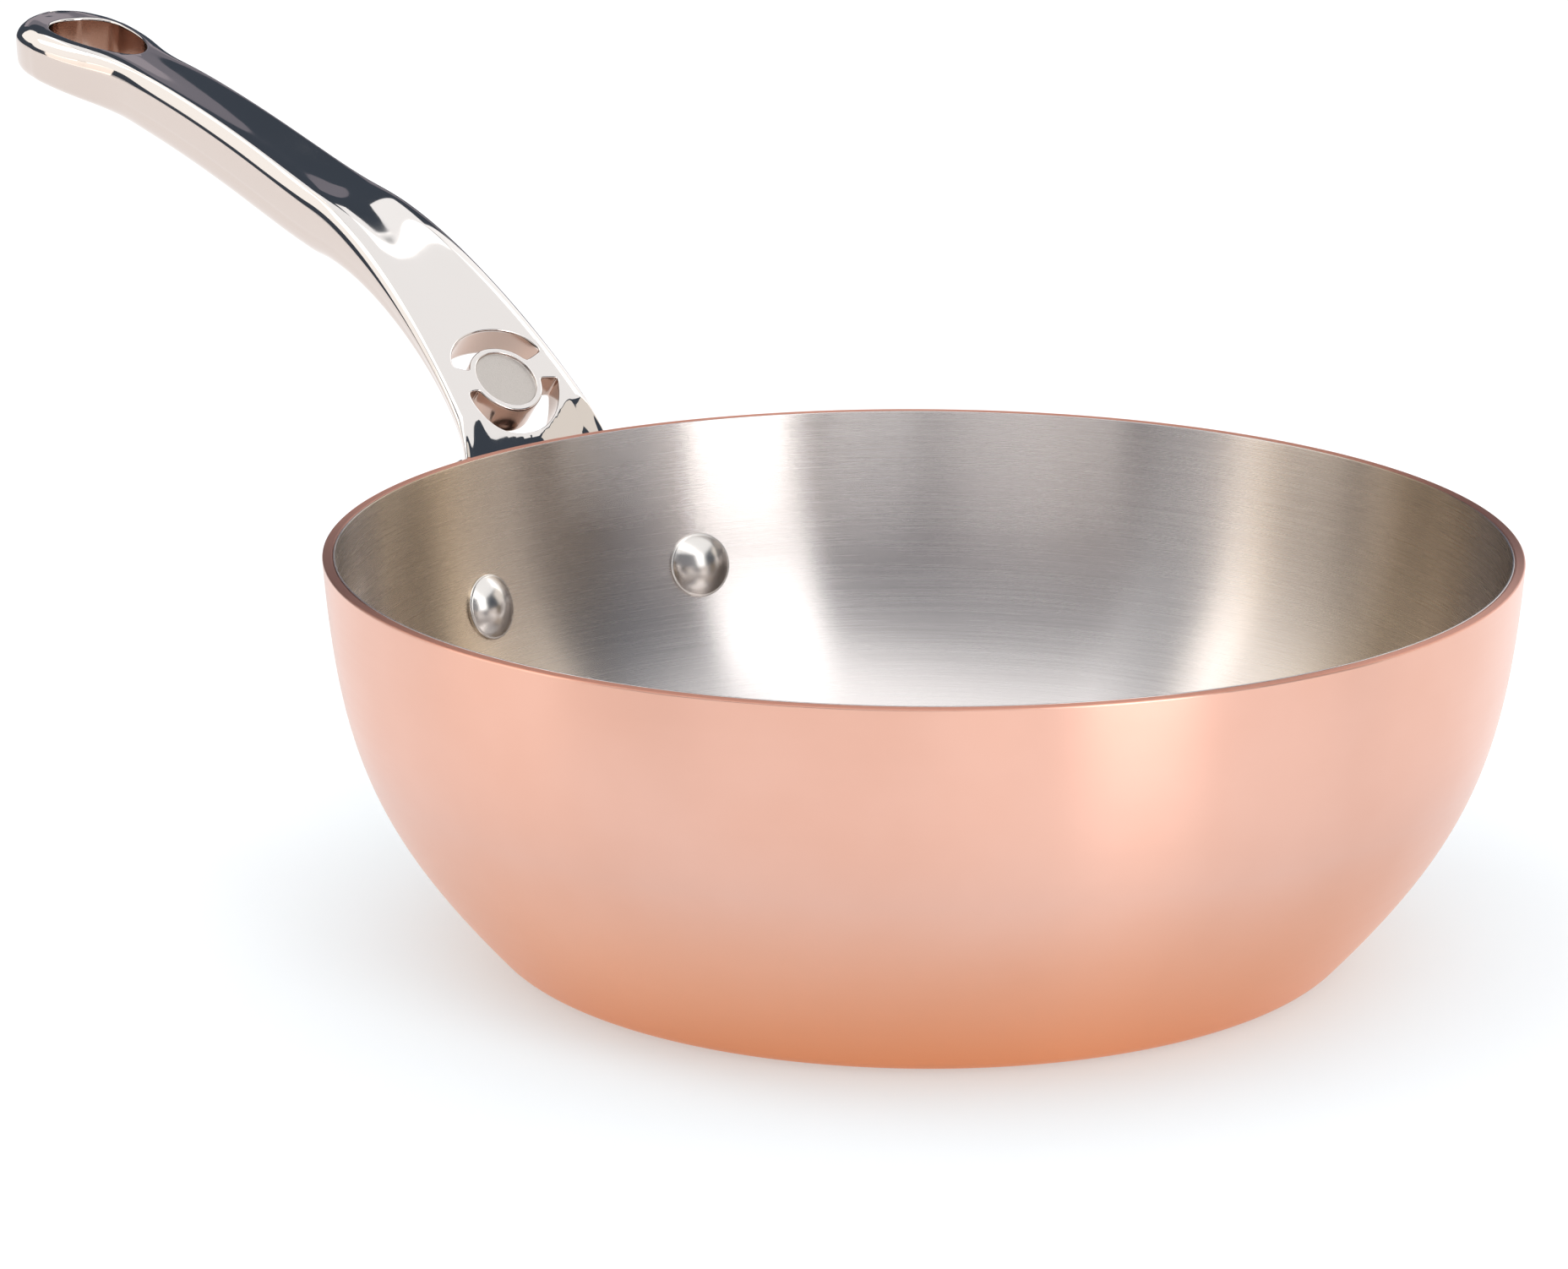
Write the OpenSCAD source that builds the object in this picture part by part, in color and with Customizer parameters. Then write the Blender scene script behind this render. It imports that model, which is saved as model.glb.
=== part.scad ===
// Conical saucepan: a two-layer bowl with a curved, flaring wall and one long
// cast handle, which two rivets hold. Origin at the centre of the underside of
// the base, +Z up, handle towards -X.

/* [Bowl] */
// Outer diameter of the bowl at the rim
rim_d = 240; // [180:1:300]
// Height of the rim above the underside of the base
bowl_h = 81.5; // [70:0.5:110]
// Diameter of the flat of the base
base_d = 164; // [110:1:170]
// Thickness of the outer copper layer
copper_t = 2.2; // [1.2:0.1:3]
// Thickness of the steel lining
lining_t = 0.4; // [0.2:0.1:1]
// Outer radius where the base turns up into the wall
foot_r = 8; // [5:0.5:12]
// Angle of the wall where it leaves that radius, from the horizontal
foot_angle = 48; // [40:1:60]
// Draft of the wall at the rim, from the vertical
rim_draft = 4; // [0:0.5:8]
// Bevel on the outer edge of the rim
rim_bevel = 0.5; // [0.1:0.1:1]

/* [Rivets] */
// Distance between the two rivets, straight across
rivet_spread = 58; // [44:1:70]
// Depth of the rivets below the rim
rivet_depth = 32; // [28:0.5:36]
// Diameter of the shanks
rivet_shank_d = 8; // [5:0.5:9]
// Diameter of the polished heads inside the bowl
rivet_head_d = 14; // [12:0.5:18]
// Height of the domed heads
rivet_head_h = 3.6; // [2:0.1:5]
// Height of the straight edge round each head
rivet_edge_h = 0.6; // [0.2:0.1:1]
// Diameter of the low tails on the flange
rivet_tail_d = 12; // [10:0.5:14]
// Height of the tails
rivet_tail_h = 2; // [1:0.1:3]

/* [Flange] */
// Height of the winged flange
flange_h = 28; // [20:1:32]
// Thickness of the flange
flange_t = 5; // [3:0.5:7]

/* [Handle] */
// Reach of the handle's tip past the rim
handle_reach = 210.5; // [140:0.5:260]
// Height of the tip above the rim
handle_rise = 67.5; // [50:0.5:90]
// Gap between the outside of the rim and the stem where it passes the rim
neck_gap = 7.5; // [5:0.5:12]
// Depth below the rim at which the stem turns outwards
neck_drop = 3.5; // [1:0.5:6]
// Width of the grip
grip_w = 17.8; // [14:0.2:24]
// Thickness of the grip
grip_t = 15; // [11:0.5:18]

/* [Eye] */
// Length of the hole for hanging
eye_l = 31; // [24:0.5:36]
// Width of the hole for hanging
eye_w = 18.6; // [14:0.2:22]
// Width of the metal on each side of the hole
eye_wall = 4.9; // [4:0.1:9]
// Width of the metal between the hole and the tip
eye_end_wall = 10.6; // [6:0.1:12]

/* [Medallion] */
// Distance of the medallion's centre from the rim, measured level
medallion_out = 20.6; // [18:0.1:26]
// Diameter of the medallion
medallion_d = 16.8; // [13:0.1:19]
// Diameter of its sunken face
medallion_face_d = 13.8; // [9:0.1:14]
// Depth of its sunken face
medallion_face_depth = 0.8; // [0.3:0.1:1.5]
// Width of the two curved slots round it
slot_w = 4.8; // [3:0.1:5.5]

/* [Hidden] */
$fn = 96;
overrun = 1;
rivet_fit = 0.05;

rim_r = rim_d / 2;
base_r = base_d / 2;
wall_t = copper_t + lining_t;

// Wall: a cubic curve from the rim to the foot, then an arc into the flat base
wall_steps = 28;
foot_steps = 8;
rim_pull_share = 0.44;
foot_pull_share = 0.42;
foot_end = [base_r + foot_r * sin(foot_angle), foot_r * (1 - cos(foot_angle))];
wall_chord = norm([rim_r, bowl_h] - foot_end);
wall_controls = [
    [rim_r, bowl_h],
    [rim_r, bowl_h] - rim_pull_share * wall_chord * [sin(rim_draft), cos(rim_draft)],
    foot_end + foot_pull_share * wall_chord * [cos(foot_angle), sin(foot_angle)],
    foot_end
];

function bezier(p, u) =
    pow(1 - u, 3) * p[0] + 3 * pow(1 - u, 2) * u * p[1]
    + 3 * (1 - u) * pow(u, 2) * p[2] + pow(u, 3) * p[3];
function bezier_slope(p, u) =
    3 * pow(1 - u, 2) * (p[1] - p[0]) + 6 * (1 - u) * u * (p[2] - p[1])
    + 3 * pow(u, 2) * (p[3] - p[2]);
function unit(v) = v / norm(v);

// Unit vector square to the wall, out of the bowl
function wall_normal(u) =
    let (d = unit(bezier_slope(wall_controls, u))) [-d[1], d[0]];

// Path from the rim to the middle of the floor, moved inwards by a thickness
function wall_path(inset) = concat(
    [[rim_r - inset / cos(rim_draft), bowl_h]],
    [for (i = [1 : wall_steps])
        let (u = i / wall_steps) bezier(wall_controls, u) - inset * wall_normal(u)],
    [for (i = [1 : foot_steps])
        let (a = foot_angle * (1 - i / foot_steps))
            [base_r, foot_r] + (foot_r - inset) * [sin(a), -cos(a)]],
    [[0, inset]]
);

// The same path on the outside, with the bevel at the rim's edge
function outer_path() = let (path = wall_path(0)) concat(
    [[rim_r - rim_bevel, bowl_h], [rim_r - rim_bevel * sin(rim_draft), bowl_h - rim_bevel]],
    [for (i = [1 : len(path) - 1]) path[i]]
);
function reversed(list) = [for (i = [len(list) - 1 : -1 : 0]) list[i]];

// Place on the wall curve whose height is z, found by halving
halvings = 24;
function wall_u(z, low = 0, high = 1, n = halvings) =
    let (mid = (low + high) / 2)
        n == 0 ? mid
        : bezier(wall_controls, mid)[1] > z ? wall_u(z, mid, high, n - 1)
        : wall_u(z, low, mid, n - 1);

// Slots: where they start and end, as angles from the way along the stem
slot_sides = 4;
slot_angles = [[-58, 53], [110, 248]];

// Rivets: square to the wall, half their spread on each side of the handle
rivet_u = wall_u(bowl_h - rivet_depth);
rivet_at = bezier(wall_controls, rivet_u);
rivet_normal = wall_normal(rivet_u);
rivet_tilt = atan2(-rivet_normal[1], rivet_normal[0]);
rivet_angle = asin(rivet_spread / 2 / rivet_at[0]);
// A flat head touches the curved wall at its edge, this far off the wall
rivet_sag = pow(rivet_head_d / 2, 2) / (2 * rivet_at[0]);

// Stem: two cubic curves, each point of which holds the distance from the
// bowl's axis, the height above the base, the half width, the thickness and
// the part of the thickness that the sides take. The shares are of the run and
// rise from neck to tip, of the grip's size and of the thickness itself.
neck_at = [rim_r + neck_gap, bowl_h - neck_drop];
tip_at = [rim_r + handle_reach, bowl_h + handle_rise];
stem_size = [tip_at[0] - neck_at[0], tip_at[1] - neck_at[1], grip_w / 2, grip_t];
neck_shares = [
    [0, 0, 2.2, 0.85, 0.62],
    [0.006, 0.055, 1.93, 0.06, 0.3],
    [0.2, 0.558, 1.5, 0.82, 0.5],
    [0.36, 0.646, 1.17, 1.05, 0.62]
];
grip_shares = [
    neck_shares[3],
    [0.486, 0.715, 0.93, 1.1, 0.65],
    [0.607, 0.878, 1, 1.06, 0.62],
    [1, 1, 1, 0.9, 0.62]
];
function stem_point(s) = [
    neck_at[0] + s[0] * stem_size[0], neck_at[1] + s[1] * stem_size[1],
    s[2] * stem_size[2], s[3] * stem_size[3], s[4]
];
neck_controls = [for (s = neck_shares) stem_point(s)];
grip_controls = [for (s = grip_shares) stem_point(s)];

// Root of the stem, inside the flange: its depth below the rim and its width
root_depth = rivet_depth - flange_h / 4;
root_w = rivet_spread - rivet_head_d;
root_u = wall_u(bowl_h - root_depth);
root_skin = flange_t / 12;
root_at = bezier(wall_controls, root_u) + root_skin * wall_normal(root_u);
root_side_share = 0.7;
root_point = [root_at[0], root_at[1], root_w / 2, flange_t - root_skin, root_side_share];

// Eye: the stem swells round the hole and ends in half an ellipse
eye_r = eye_w / 2;
eye_x = tip_at[0] - eye_end_wall - eye_r;
eye_half_w = eye_r + eye_wall;
swell_l = eye_l - eye_r / 4;
function eye_swell(x) =
    x > eye_x ? 1 : x < eye_x - swell_l ? 0 : (1 + cos(180 * (eye_x - x) / swell_l)) / 2;

// Place on a stem curve whose distance from the axis is x, found by halving
function stem_u(p, x, low = 0, high = 1, n = halvings) =
    let (mid = (low + high) / 2)
        n == 0 ? mid
        : bezier(p, mid)[0] < x ? stem_u(p, x, mid, high, n - 1)
        : stem_u(p, x, low, mid, n - 1);

// Half of the stem's section, from the middle of its top round to its side:
// shares of the half width and of the depth of the side
flat_share = 0.83;
brow_shares = [[0, 0.05], [0.45, 0.02], [flat_share, 0], [0.95, 0.15], [1, 0.35], [0.98, 0.68]];
// From there a rounded belly runs to the middle of the underside
belly_share = 0.93;
belly_steps = 6;
belly_power = 0.8;
function half_section(side) = concat(
    [for (s = brow_shares) [s[0], s[1] * side]],
    [for (i = [0 : belly_steps])
        let (a = 90 * i / belly_steps)
            [belly_share * pow(cos(a), belly_power), side + (1 - side) * pow(sin(a), belly_power)]]
);
function section(side) = let (half = half_section(side)) concat(
    half, [for (i = [len(half) - 2 : -1 : 1]) [-half[i][0], half[i][1]]]
);

// One ring of the stem: its point, the slope there, how far it wraps round
// the bowl and how far the rounding of the tip draws it in
function stem_ring(p, d, wrap, draw_w, draw_t) =
    let (t = unit([d[0], d[1]]), extra = (eye_half_w - p[2]) * eye_swell(p[0]))
        [for (s = section(p[4]))
            let (
                share = abs(s[0]),
                y = sign(s[0]) * draw_w * (share * p[2] + min(1, share / flat_share) * extra),
                depth = p[3] * (0.5 + (s[1] - 0.5) * draw_t),
                bend = wrap * (p[0] - sqrt(pow(p[0], 2) - pow(y, 2)))
            )
                [p[0] + t[1] * depth - bend, y, p[1] - t[0] * depth]];

root_rings = 6;
neck_rings = 18;
grip_rings = 20;
tip_rings = 9;
tip_end_angle = 86;
tip_plan_power = 2.5;
tip_side_power = 6;
tip_side_root = 2;
function draw_in(a, power, root) = pow(1 - pow(sin(a), power), 1 / root);
function root_step(k) = root_point + k * (neck_controls[0] - root_point);
stem_rings = concat(
    [for (i = [0 : root_rings - 1])
        let (k = i / root_rings)
            stem_ring(root_step(k), neck_controls[0] - root_point, 1 - k, 1, 1)],
    [for (i = [0 : neck_rings - 1])
        let (u = i / neck_rings)
            stem_ring(bezier(neck_controls, u), bezier_slope(neck_controls, u), 0, 1, 1)],
    [for (i = [0 : grip_rings - 1])
        let (u = stem_u(grip_controls, eye_x) * i / grip_rings)
            stem_ring(bezier(grip_controls, u), bezier_slope(grip_controls, u), 0, 1, 1)],
    [for (i = [0 : tip_rings])
        let (
            a = tip_end_angle * i / tip_rings,
            u = stem_u(grip_controls, eye_x + (tip_at[0] - eye_x) * sin(a))
        )
            stem_ring(bezier(grip_controls, u), bezier_slope(grip_controls, u), 0,
                draw_in(a, tip_plan_power, tip_plan_power),
                draw_in(a, tip_side_power, tip_side_root))]
);

function middle(list) = [for (s = list) 1] * list / len(list);

// Closed skin through a list of rings, with a fan of triangles at each end
module skin(rings) {
    n = len(rings[0]);
    last = len(rings) - 1;
    points = concat([for (r = rings) each r], [middle(rings[0]), middle(rings[last])]);
    sides = [for (i = [0 : last - 1], j = [0 : n - 1])
        let (k = (j + 1) % n, a = i * n + j, b = i * n + k, c = a + n, d = b + n)
            each [[a, b, d], [a, d, c]]];
    start_cap = [for (j = [0 : n - 1]) [(j + 1) % n, j, len(points) - 2]];
    end_cap = [for (j = [0 : n - 1]) [last * n + j, last * n + (j + 1) % n, len(points) - 1]];
    polyhedron(points, concat(sides, start_cap, end_cap));
}

// Puts its children on the wall at a rivet, with +Z square to the wall
module at_rivet(side) {
    rotate([0, 0, side * rivet_angle])
        translate([rivet_at[0], 0, rivet_at[1]])
            rotate([0, 90 + rivet_tilt, 0])
                children();
}

// Round cap of a given diameter and height, flat side down
module dome(d, h) {
    ball_r = (pow(d / 2, 2) + pow(h, 2)) / (2 * h);
    intersection() {
        translate([0, 0, h - ball_r]) sphere(ball_r);
        cylinder(h = h, d = d);
    }
}

module rivet_hole(side) {
    at_rivet(side)
        translate([0, 0, -wall_t - overrun])
            cylinder(h = wall_t + flange_t + 2 * overrun, d = rivet_shank_d + 2 * rivet_fit);
}

module layer(outside, inside, shade) {
    color(shade)
        difference() {
            rotate_extrude($fn = 180) polygon(concat(outside, reversed(inside)));
            rotate([0, 0, 180]) for (side = [-1, 1]) rivet_hole(side);
        }
}

module copper_body() {
    layer(outer_path(), wall_path(copper_t), "peru");
}

module steel_lining() {
    layer(wall_path(copper_t), wall_path(wall_t), "lightgray");
}

// Winged plate that hugs the outside of the wall round both rivets
module flange() {
    intersection() {
        rotate_extrude($fn = 180)
            polygon(concat(
                [for (i = [1 : wall_steps]) bezier(wall_controls, i / wall_steps)],
                [for (i = [wall_steps : -1 : 1])
                    bezier(wall_controls, i / wall_steps) + flange_t * wall_normal(i / wall_steps)]
            ));
        translate([0, 0, rivet_at[1]])
            rotate([90, 0, 90])
                linear_extrude(rim_d) {
                    square([rivet_spread, flange_h], center = true);
                    for (side = [-1, 1])
                        translate([side * rivet_spread / 2, 0]) circle(d = flange_h);
                }
    }
}

// Puts its children on the top of the stem at a distance from the axis, with
// +X along the stem and +Z square to it
module on_stem(p, x) {
    u = stem_u(p, x);
    at = bezier(p, u);
    d = bezier_slope(p, u);
    translate([at[0], 0, at[1]])
        rotate([0, -atan2(d[1], d[0]), 0])
            children();
}

module eye_hole() {
    on_stem(grip_controls, eye_x)
        translate([0, 0, -grip_t - overrun])
            linear_extrude(grip_t + 2 * overrun)
                polygon([for (i = [0 : $fn - 1])
                    let (a = 360 * i / $fn)
                        [cos(a) * (cos(a) > 0 ? eye_r : eye_l - eye_r), sin(a) * eye_r]]);
}

// Outline of one curved slot round the medallion, from one angle to another
module slot_outline(from, to) {
    inner_r = medallion_d / 2;
    mid_r = inner_r + slot_w / 2;
    reach_r = 2 * (inner_r + slot_w);
    intersection() {
        difference() {
            circle(inner_r + slot_w);
            circle(inner_r);
        }
        polygon(concat([[0, 0]],
            [for (i = [0 : slot_sides]) let (a = from + (to - from) * i / slot_sides)
                reach_r * [cos(a), sin(a)]]));
    }
    for (a = [from, to]) rotate(a) translate([mid_r, 0]) circle(d = slot_w);
}

module medallion_cuts() {
    on_stem(neck_controls, rim_r + medallion_out) {
        translate([0, 0, -grip_t])
            linear_extrude(grip_t + overrun)
                for (a = slot_angles) slot_outline(a[0], a[1]);
        translate([0, 0, -medallion_face_depth])
            cylinder(h = medallion_face_depth + overrun, d = medallion_face_d);
    }
}

module handle() {
    color("gainsboro")
        rotate([0, 0, 180])
            difference() {
                union() {
                    flange();
                    skin(stem_rings);
                }
                for (side = [-1, 1]) rivet_hole(side);
                eye_hole();
                medallion_cuts();
            }
}

module rivet(side) {
    head_at = wall_t + rivet_sag;
    color("whitesmoke")
        rotate([0, 0, 180])
            at_rivet(side) {
                translate([0, 0, -head_at])
                    cylinder(h = head_at + flange_t, d = rivet_shank_d);
                translate([0, 0, -head_at]) rotate([180, 0, 0]) {
                    cylinder(h = rivet_edge_h, d = rivet_head_d);
                    translate([0, 0, rivet_edge_h])
                        dome(rivet_head_d, rivet_head_h - rivet_edge_h);
                }
                translate([0, 0, flange_t]) dome(rivet_tail_d, rivet_tail_h);
            }
}

module rivet_left() {
    rivet(1);
}

module rivet_right() {
    rivet(-1);
}

copper_body();
steel_lining();
handle();
rivet_left();
rivet_right();
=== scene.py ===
# %% [markdown]
# A riveted copper saucepan.
#
# The pan is a bowl of copper with a thin steel lining, and one long cast steel
# handle that two rivets hold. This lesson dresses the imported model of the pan:
# each plain solid gets a smooth skin of the same size, a finish and light.
# Everything is in metres. The origin is the centre of the underside of the
# base, Z points up and the handle points to -X.

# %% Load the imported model
import math
from functools import partialmethod
from types import SimpleNamespace

import bmesh
import bpy
import numpy as np
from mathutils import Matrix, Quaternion, Vector
from mathutils.bvhtree import BVHTree
from mathutils.geometry import delaunay_2d_cdt


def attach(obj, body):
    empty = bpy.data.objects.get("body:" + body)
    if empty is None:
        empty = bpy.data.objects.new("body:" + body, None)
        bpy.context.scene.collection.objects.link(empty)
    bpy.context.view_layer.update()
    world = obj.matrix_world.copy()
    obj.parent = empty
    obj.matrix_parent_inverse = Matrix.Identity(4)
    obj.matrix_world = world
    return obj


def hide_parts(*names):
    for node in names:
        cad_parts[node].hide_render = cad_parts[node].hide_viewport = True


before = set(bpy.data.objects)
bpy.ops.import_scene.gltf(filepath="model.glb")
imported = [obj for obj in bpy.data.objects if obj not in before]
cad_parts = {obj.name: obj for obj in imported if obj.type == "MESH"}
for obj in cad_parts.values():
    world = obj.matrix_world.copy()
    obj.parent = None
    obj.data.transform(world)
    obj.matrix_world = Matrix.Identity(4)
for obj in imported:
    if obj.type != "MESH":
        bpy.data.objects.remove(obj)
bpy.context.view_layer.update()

# %% [markdown]
# Sizes. They repeat the named sizes of the solid model, in millimetres, because
# a maker thinks of a pan in millimetres. A mesh is scaled to metres when it is
# made.

# %% Sizes of the bowl and the rivets
MM = 0.001
rim_r = 120.0
bowl_h = 81.5
base_r = 82.0
copper_t = 2.2
lining_t = 0.4
wall_t = copper_t + lining_t
foot_r = 8.0
foot_angle = math.radians(48)
rim_draft = math.radians(4)
rim_pull_share = 0.44
foot_pull_share = 0.42

rivet_spread = 58.0
rivet_depth = 32.0
rivet_shank_r = 4.0
rivet_head_r = 7.0
rivet_head_h = 3.6
rivet_edge_h = 0.6
rivet_tail_r = 6.0
rivet_tail_h = 2.0
flange_h = 28.0
flange_t = 5.0

foot_end = np.array([base_r + foot_r * math.sin(foot_angle), foot_r * (1 - math.cos(foot_angle))])
rim_end = np.array([rim_r, bowl_h])
wall_chord = np.linalg.norm(rim_end - foot_end)
rim_pull = rim_pull_share * wall_chord
foot_pull = foot_pull_share * wall_chord
print("wall from", foot_end.round(2), "to", rim_end)

# %% [markdown]
# The camera stands where the photographer's did: about 15 degrees above the
# horizon, a little over a metre away, with a long lens. Its place was worked
# out from the ellipse of the rim.

# %% Camera
def add_object(name, data):
    """A new object at the origin of the scene."""
    made = bpy.data.objects.new(name, data)
    bpy.context.scene.collection.objects.link(made)
    return made


camera_at = Vector((0.8137, -0.6898, 0.3554))
camera_way = Vector((-0.7515, 0.6042, -0.2648))
camera = add_object("camera", bpy.data.cameras.new("camera"))
camera.data.lens = 126.08
camera.data.sensor_width = 36
camera.location = camera_at
camera.rotation_euler = camera_way.to_track_quat("-Z", "Y").to_euler()
bpy.context.scene.camera = camera
print("camera", camera_at.length, "m from the base")

# %% [markdown]
# A small language for nodes. A shader or a geometry tree is easier to read as
# a sum than as a list of links. Value wraps a socket and overloads the
# operators, and Board adds every node through one method: its settings are set
# first, then the values or links of its sockets.

# %% Values and boards
class Value:
    """A node's output that takes part in sums; each operator adds a Math node."""

    def __init__(self, board, socket):
        self.board = board
        self.socket = socket

    def out(self, name):
        return Value(self.board, self.socket.node.outputs[name])

    def maths(self, operation, *others, flip=False):
        terms = [*others, self] if flip else [self, *others]
        return self.board.node("ShaderNodeMath", dict(enumerate(terms)), operation=operation)

    __add__ = __radd__ = partialmethod(maths, "ADD")
    __mul__ = __rmul__ = partialmethod(maths, "MULTIPLY")
    __sub__ = partialmethod(maths, "SUBTRACT")
    __rsub__ = partialmethod(maths, "SUBTRACT", flip=True)
    __truediv__ = partialmethod(maths, "DIVIDE")
    __gt__ = partialmethod(maths, "GREATER_THAN")
    least = partialmethod(maths, "MINIMUM")
    most = partialmethod(maths, "MAXIMUM")
    sqrt = partialmethod(maths, "SQRT")
    cos = partialmethod(maths, "COSINE")
    sin = partialmethod(maths, "SINE")

    def fit(self, low, high):
        """0 at low, 1 at high, even between them and held beyond them."""
        return self.board.node("ShaderNodeMapRange", {0: self, 1: low, 2: high})


class Board:
    """Adds nodes to one tree."""

    def __init__(self, tree):
        self.tree = tree
        tree.nodes.clear()

    def node(self, kind, inputs=None, output=0, **settings):
        made = self.tree.nodes.new(kind)
        for name, setting in settings.items():
            setattr(made, name, setting)
        for key, given in (inputs or {}).items():
            if isinstance(given, Value):
                self.tree.links.new(given.socket, made.inputs[key])
            else:
                made.inputs[key].default_value = given
        return Value(self, made.outputs[output]) if made.outputs else made

    def vector(self, x=0.0, y=0.0, z=0.0):
        return self.node("ShaderNodeCombineXYZ", {0: x, 1: y, 2: z})

    def parts(self, vector):
        split = self.node("ShaderNodeSeparateXYZ", {0: vector})
        return split, split.out("Y"), split.out("Z")

    def blend(self, factor, a, b):
        return self.node("ShaderNodeMix", {0: factor, 6: a, 7: b}, 2, data_type="RGBA")

    def choose(self, past, before, after):
        """One of two vectors: past is 0 or 1."""
        return self.node("ShaderNodeMix", {0: past, 4: before, 5: after}, 1, data_type="VECTOR")

    def line(self, start, end):
        return self.node("GeometryNodeCurvePrimitiveLine", {"Start": start, "End": end})

    def noise(self, vector, scale, detail, roughness):
        inputs = {"Vector": vector, "Scale": scale, "Detail": detail, "Roughness": roughness}
        return self.node("ShaderNodeTexNoise", inputs)


print("nodes are written as sums from here on")


# %% Helpers for geometry trees
def geometry_board(name, **numbers):
    """A new geometry tree with an input for each number. Returns its board and its inputs."""
    tree = bpy.data.node_groups.new(name, "GeometryNodeTree")
    tree.is_modifier = True
    tree.interface.new_socket("Geometry", in_out="INPUT", socket_type="NodeSocketGeometry")
    tree.interface.new_socket("Geometry", in_out="OUTPUT", socket_type="NodeSocketGeometry")
    for label, number in numbers.items():
        socket = tree.interface.new_socket(label, in_out="INPUT", socket_type="NodeSocketFloat")
        socket.default_value = number
    board = Board(tree)
    entry = board.node("NodeGroupInput")
    return board, SimpleNamespace(**{label: entry.out(label) for label in numbers})


def unit_grid(board, around, rows):
    """A grid to wrap round the axis; returns it with the turn and the height from 0 to 1."""
    grid = board.node("GeometryNodeMeshGrid", {
        "Size X": 1.0, "Size Y": 1.0, "Vertices X": around + 1.0, "Vertices Y": rows})
    across, up, _ = board.parts(board.node("GeometryNodeInputPosition"))
    return grid, (across + 0.5) * math.tau, up + 0.5


def follow(board, stretches, step):
    """Place and tangent at a step along stretches: curves with their first and last steps."""
    at = tangent = board.vector()
    for number, (curve, low, high) in enumerate(stretches):
        inputs = {"Curves": curve, "Factor": step.fit(low, high)}
        now = board.node("GeometryNodeSampleCurve", inputs, "Position", mode="FACTOR")
        past = (step > low) if number else 1.0
        at = board.choose(past, at, now)
        tangent = board.choose(past, tangent, now.out("Tangent"))
    return at, tangent


def wrap(board, grid, turn, radius, height, weld):
    """Puts the grid round the axis and welds what meets there."""
    place = board.vector(radius * turn.cos(), radius * turn.sin(), height)
    wrapped = board.node("GeometryNodeSetPosition", {"Geometry": grid, "Position": place})
    return board.node("GeometryNodeMergeByDistance", {"Geometry": wrapped, "Distance": weld})


def finish_rule(board, geometry, material):
    real = board.node("GeometryNodeRealizeInstances", {"Geometry": geometry})
    smooth = board.node("GeometryNodeSetShadeSmooth", {"Geometry": real})
    done = board.node("GeometryNodeSetMaterial", {"Geometry": smooth, "Material": material})
    board.node("NodeGroupOutput", {0: done})


def settle(mesh):
    """Drops loose points and turns every face outwards."""
    work = bmesh.new()
    work.from_mesh(mesh)
    loose = [v for v in work.verts if not v.link_faces]
    bmesh.ops.delete(work, geom=loose, context="VERTS")
    bmesh.ops.recalc_face_normals(work, faces=work.faces)
    if work.calc_volume(signed=True) < 0:
        bmesh.ops.reverse_faces(work, faces=work.faces)
    open_edges = sum(1 for edge in work.edges if not edge.is_manifold)
    work.to_mesh(mesh)
    work.free()
    print(mesh.name, len(mesh.polygons), "faces, open edges:", open_edges)


def grow(name, board, **numbers):
    """Runs a geometry tree on an empty mesh and returns the result as a plain object."""
    made = add_object(name, bpy.data.meshes.new(name))
    modifier = made.modifiers.new("rule", "NODES")
    modifier.node_group = board.tree
    for label, number in numbers.items():
        modifier[board.tree.interface.items_tree[label].identifier] = number
    graph = bpy.context.evaluated_depsgraph_get()
    plain = bpy.data.meshes.new_from_object(made.evaluated_get(graph))
    made.modifiers.clear()
    made.data = plain
    plain.name = name
    settle(plain)
    return made


print("a rule becomes a plain mesh with grow")

# %% [markdown]
# Finishes. Metal shows its surroundings, so a metal is little more than a
# colour and a roughness. The copper and the lining were turned against
# abrasive on a lathe: their scratches run round the axis, and light smears
# square to them. A Principled shader does this with its anisotropy, and its
# tangent runs round Z by itself.

# %% Helpers for finishes
tiny = 1e-8  # keeps a division on the axis finite


def new_material(name):
    """A new material with its board and the place on the object."""
    made = bpy.data.materials.new(name)
    made.use_nodes = True
    board = Board(made.node_tree)
    return made, board, board.node("ShaderNodeTexCoord", output="Object")


def attribute(board, name):
    return board.node("ShaderNodeAttribute", output="Fac", attribute_name=name)


def finish_material(board, inputs):
    shader = board.node("ShaderNodeBsdfPrincipled", inputs)
    board.node("ShaderNodeOutputMaterial", {"Surface": shader})


def finish_metal(board, tint, roughness, relief, strength, distance, smear=0.0):
    """A metal with a fine relief. Smear draws its reflections out across the scratches."""
    bump = board.node("ShaderNodeBump", {"Height": relief, "Strength": strength, "Distance": distance})
    finish_material(board, {
        "Base Color": tint, "Metallic": 1.0, "Roughness": roughness, "Normal": bump,
        "Anisotropic": smear, "Anisotropic Rotation": 0.25 if smear else 0.0,
    })


def axis_reach(x, y):
    return (x * x + y * y + tiny).sqrt()


def scratches(board, place, round_scale, run_scale, detail, roughness):
    """A noise stretched into scratches round the Z axis."""
    x, y, _ = board.parts(place)
    reach = axis_reach(x, y)
    run = attribute(board, "wall_run")
    stretched = board.vector(x / reach * round_scale, y / reach * round_scale, run * run_scale)
    return board.noise(stretched, 1.0, detail, roughness)


# %% Copper
copper_pale = (0.79, 0.475, 0.38, 1)
copper_deep = (0.765, 0.44, 0.34, 1)
# The foot tint is a painted reflection: the deeper orange of a shaded floor that the copper's own glow
# lights.
copper_floor_reflection = (0.92, 0.375, 0.18, 1)
copper_rim = (0.62, 0.30, 0.22, 1)


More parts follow.
